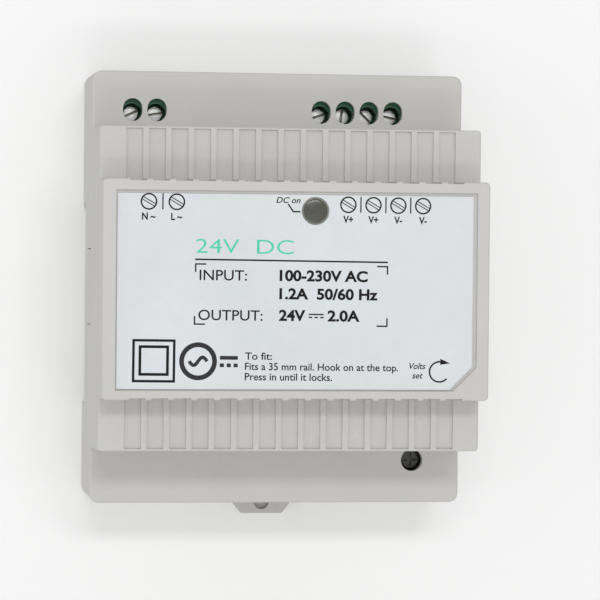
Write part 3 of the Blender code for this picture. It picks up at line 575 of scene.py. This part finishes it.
# a slotted screw head over each terminal's letters, with an upright line between neighbours
def printTerminals(sheet, settings):
    line, radius, z = settings["lineMm"], settings["radiusMm"], settings["symbolZ"]
    turn = math.radians(settings["slotDegrees"])
    along, across = np.array([math.cos(turn), math.sin(turn)]), np.array([-math.sin(turn), math.cos(turn)])
    reach = math.sqrt(radius ** 2 - settings["slotHalfMm"] ** 2)
    for places, names in settings["groups"]:
        for x, name in zip(places, names):
            stroke(sheet, ringPath(x, z, radius), line, closed=True)
            for side in (-1, 1):
                middle = np.array([x, z]) + side * settings["slotHalfMm"] * across
                stroke(sheet, [middle - reach * along, middle + reach * along], settings["slotLineMm"])
            letters(sheet, name, x, settings["letterZ"], settings["capMm"], centred=True,
                    weight=settings["weight"])
        for left, right in zip(places, places[1:]):
            ends = [((left + right) / 2, z + height) for height in settings["dividerMm"]]
            stroke(sheet, ends, settings["dividerLineMm"])


# the direct current sign: a line over three dashes
def printDirectCurrent(sheet, sign):
    x, z, across, dash, line = (sign[key] for key in ("x", "z", "across", "dash", "line"))
    stroke(sheet, [(x, z), (x + across, z)], line)
    for start in np.linspace(x, x + across - dash, 3):
        stroke(sheet, [(start, z - sign["gap"]), (start + dash, z - sign["gap"])], line)


ratingPrint = {  # words: text, x, z, width and weight; brackets: corner, then which way its two arms point
    "capMm": 2.05, "rule": [(-20.65, 5.92), (18.2, 5.86)], "ruleMm": 0.32,
    "armMm": (2.1, 1.6), "armLineMm": 0.288,
    "brackets": ((-20.5, 5.0, 1, 1), (18.15, 5.0, -1, 1), (-20.6, -6.95, 1, -1), (18.2, -6.95, -1, -1)),
    "words": (("INPUT:", -19.7, 2.85, 9.5, 0.006), ("OUTPUT:", -19.85, -5.1, 12.9, 0.006),
              ("100-230V AC", -3.65, 2.95, 17.8, 0.034), ("1.2A  50/60 Hz", -3.65, -0.68, 19.9, 0.034),
              ("24V", -3.65, -5.0, 5.3, 0.034), ("2.0A", 6.15, -5.0, 6.5, 0.034)),
    "directCurrent": {"x": 2.35, "z": -4.75, "across": 3.0, "gap": 0.6, "dash": 0.7, "line": 0.272}}


def printRatings(sheet, settings):
    stroke(sheet, settings["rule"], settings["ruleMm"])
    sideways, upright = settings["armMm"]
    for x, z, signX, signZ in settings["brackets"]:
        stroke(sheet, [(x, z - signZ * upright), (x, z), (x + signX * sideways, z)], settings["armLineMm"])
    for words, x, z, width, weight in settings["words"]:
        letters(sheet, words, x, z, settings["capMm"], width=width, weight=weight)
    printDirectCurrent(sheet, settings["directCurrent"])


notePrint = {  # words: text, x, z, capital height, width and slant
    "weight": 0.012,
    "words": (("To fit:", -10.35, -13.2, 1.42, 5.4, 0.0),
              ("Fits a 35 mm rail. Hook on at the top.", -10.35, -15.25, 1.42, 31.0, 0.0),
              ("Press in until it locks.", -10.35, -17.3, 1.42, 17.6, 0.0),
              ("DC on", -4.55, 18.0, 1.15, 4.9, 0.25),
              ("Volts", 22.9, -14.85, 1.2, 3.3, 0.25),
              ("set", 23.5, -16.75, 1.2, 2.2, 0.25)),
    "leader": [(-2.15, 17.25), (-1.1, 15.72), (0.35, 15.72)], "leaderMm": 0.3,
    "dial": {"x": 29.05, "z": -16.0, "radius": 2.02, "start": 100, "end": 318, "line": 0.32},
    "arrow": [(28.6, -14.12), (28.6, -13.78), (29.2, -13.78), (29.2, -13.35), (31.2, -14.25), (29.2, -14.55),
              (29.2, -14.12)]}


def printNotes(sheet, settings):
    for words, x, z, capHeight, width, slant in settings["words"]:
        letters(sheet, words, x, z, capHeight, width=width, weight=settings["weight"], slant=slant)
    stroke(sheet, settings["leader"], settings["leaderMm"])
    dial = settings["dial"]
    stroke(sheet, arcPath(dial["x"], dial["z"], dial["radius"], dial["start"], dial["end"], 30), dial["line"])
    patch(sheet, settings["arrow"])


signPrint = {  # two squares for double insulation, and plain signs for alternating in and direct out
    "squares": ((-28.6, -14.35, 4.05, 0.5), (-28.6, -14.3, 2.75, 0.55)),
    "ring": {"x": -19.75, "z": -14.35, "radius": 3.3, "line": 0.95},
    "wave": {"half": 1.8, "rise": 0.8, "line": 0.7},
    "direct": {"x": -15.4, "z": -13.6, "across": 3.6, "gap": 1.5, "dash": 0.84, "line": 0.75}}


# the wave's height is a sine of the distance across
def printSigns(blackInkSheet, charcoalSheet, settings):
    for x, z, half, line in settings["squares"]:
        stroke(blackInkSheet, squarePath(x, z, half), line, closed=True)
    ring, wave = settings["ring"], settings["wave"]
    stroke(charcoalSheet, ringPath(ring["x"], ring["z"], ring["radius"], 64), ring["line"], closed=True)
    across = np.linspace(-wave["half"], wave["half"], 33)
    height = wave["rise"] * np.sin(across * np.pi / wave["half"])
    stroke(charcoalSheet, np.stack([ring["x"] + across, ring["z"] + height], -1), wave["line"])
    printDirectCurrent(charcoalSheet, settings["direct"])


headingPrint = {"words": "24V  DC", "x": -20.5, "z": 8.62, "capMm": 2.85, "width": 19.6, "weight": -0.004}

blackSheet, tealSheet, charcoalSheet = newSheet(), newSheet(), newSheet()
printTerminals(blackSheet, terminalPrint)
printRatings(blackSheet, ratingPrint)
printNotes(blackSheet, notePrint)
printSigns(blackSheet, charcoalSheet, signPrint)
letters(tealSheet, headingPrint["words"], headingPrint["x"], headingPrint["z"], headingPrint["capMm"],
        width=headingPrint["width"], weight=headingPrint["weight"])
laySheet(blackSheet, "label_print_black", blackInk)
laySheet(tealSheet, "label_print_teal", tealInk)
laySheet(charcoalSheet, "label_print_signs", signInk)
print("label printed")


# finishes for the CAD nodes that keep their shape
slotOf = {entry["node"]: entry["material_slot"] for entry in frame["record"]["subparts"]}
innerMaterials = {slotName: surfaceMaterial(name, look) for slotName, (name, look) in innerLooks.items()}
innerMaterials.update({"case": casePlastic, "label": labelFilm, "window": smokedLens,
                       "terminal_green": greenPolyamide, "screw_steel": zincSteel,
                       "cage_steel": nickelBrass, "spring_steel": springSteel})
for nodeName, node in nodes.items():
    node.data.materials.clear()
    node.data.materials.append(innerMaterials[slotOf[nodeName]])
print("finishes given to", len(nodes), "nodes")


# studio: a pale wall and floor in an even white tent, with long lamps above and below and one at the left
studio = {"wallSize": 3.0, "wallGapMm": 0.6, "floorDropMm": 26.0, "worldLight": 0.60, "worldSeen": 0.93,
          "paperGlow": 0.10, "lampDistance": 1.3, "lampAcross": 0.6, "lampTall": 0.15,
          "lampSide": 0.02, "lamps": {"lamp_above": (19.5, 3.4), "lamp_below": (-23.0, 1.3)},
          "left": {"forward": 0.2, "across": 0.4, "tall": 0.6, "power": 2.2}}


# matt paper, faintly lit through; the wall's is clear from behind, so that the back can be seen past it
def stageMaterial(name, seenFromBehind):
    material = bpy.data.materials.new(name)
    material.use_nodes = True
    tree = material.node_tree
    shader = tree.nodes["Principled BSDF"]
    shader.inputs["Base Color"].default_value = linearColour("#F6F6F6")
    shader.inputs["Roughness"].default_value = 0.9
    shader.inputs["Specular IOR Level"].default_value = 0.0
    shader.inputs["Emission Color"].default_value = linearColour("#FFFFFF")
    shader.inputs["Emission Strength"].default_value = studio["paperGlow"]
    if not seenFromBehind:
        side = addNode(tree, "ShaderNodeNewGeometry").outputs["Backfacing"]
        clear = addNode(tree, "ShaderNodeBsdfTransparent")
        either = addNode(tree, "ShaderNodeMixShader", {0: side, 1: shader.outputs["BSDF"],
                                                      2: clear.outputs["BSDF"]})
        tree.links.new(either.outputs["Shader"], tree.nodes["Material Output"].inputs["Surface"])
    return material


def stagePlane(name, corners, material):
    mesh = bpy.data.meshes.new(name)
    mesh.from_pydata(corners, [], [(0, 1, 2, 3)])
    mesh.materials.append(material)
    plane = bpy.data.objects.new(name, mesh)
    bpy.context.scene.collection.objects.link(plane)
    return plane


lowCorner, highCorner = cadBox
wallY = highCorner[1] + studio["wallGapMm"] * mm
floorZ = lowCorner[2] - studio["floorDropMm"] * mm
half = studio["wallSize"] / 2
wall = stagePlane("paper_wall", [(-half, wallY, floorZ), (half, wallY, floorZ), (half, wallY, half),
                                 (-half, wallY, half)], stageMaterial("paper_wall", False))
wall.visible_shadow = wall.visible_diffuse = wall.visible_glossy = False
floor = stagePlane("paper_floor", [(-half, -half, floorZ), (half, -half, floorZ), (half, half, floorZ),
                                   (-half, half, floorZ)], stageMaterial("paper_floor", True))
floor.visible_shadow = False     # the lower lamp shines through it


def areaLamp(name, place, target, across, tall, power):
    data = bpy.data.lights.new(name, "AREA")
    data.shape, data.size, data.size_y, data.energy = "RECTANGLE", across, tall, power
    lamp = bpy.data.objects.new(name, data)
    lamp.location = place
    lamp.rotation_euler = (Vector(target) - Vector(place)).to_track_quat("-Z", "Y").to_euler()
    bpy.context.scene.collection.objects.link(lamp)


frontCentre = Vector((0, lowCorner[1], 0))
for lampName, (degrees, power) in studio["lamps"].items():
    turn, reach = math.radians(degrees), studio["lampDistance"]
    place = frontCentre + Vector((studio["lampSide"], -reach * math.cos(turn), reach * math.sin(turn)))
    areaLamp(lampName, place, frontCentre, studio["lampAcross"], studio["lampTall"], power)
left = studio["left"]
leftPlace = (-studio["lampDistance"], -left["forward"], 0.0)
areaLamp("lamp_left", leftPlace, (0, 0, 0), left["across"], left["tall"], left["power"])

world = bpy.data.worlds.new("white_tent")
world.use_nodes = True
bpy.context.scene.world = world
worldTree = world.node_tree
seen = addNode(worldTree, "ShaderNodeLightPath").outputs["Is Camera Ray"]
level = addNode(worldTree, "ShaderNodeMapRange", {"Value": seen, "To Min": studio["worldLight"],
                                                  "To Max": studio["worldSeen"]})
worldTree.links.new(level.outputs["Result"], worldTree.nodes["Background"].inputs["Strength"])
worldTree.nodes["Background"].inputs["Color"].default_value = (1.0, 1.0, 1.0, 1.0)
bpy.context.scene.view_settings.view_transform = "Standard"

# camera: place in millimetres, turns in degrees, lens in millimetres
cameraSettings = {"place": (-84.7, -647.9, 8.6), "yaw": 8.093, "pitch": -0.994, "roll": 0.539, "lens": 181.9}


def addCamera(settings):
    yaw, pitch, roll = (math.radians(settings[key]) for key in ("yaw", "pitch", "roll"))
    ahead = Vector((math.sin(yaw) * math.cos(pitch), math.cos(yaw) * math.cos(pitch), math.sin(pitch)))
    right = Vector((math.cos(yaw), -math.sin(yaw), 0))
    up = right.cross(ahead)
    rightTilted = right * math.cos(roll) + up * math.sin(roll)
    upTilted = up * math.cos(roll) - right * math.sin(roll)
    data = bpy.data.cameras.new("camera")
    data.lens, data.sensor_width = settings["lens"], 36.0
    camera = bpy.data.objects.new("camera", data)
    turn = Matrix((rightTilted, upTilted, -ahead)).transposed().to_4x4()
    camera.matrix_world = Matrix.Translation(Vector(settings["place"]) * mm) @ turn
    bpy.context.scene.collection.objects.link(camera)
    bpy.context.scene.camera = camera


addCamera(cameraSettings)
print("studio and camera set")
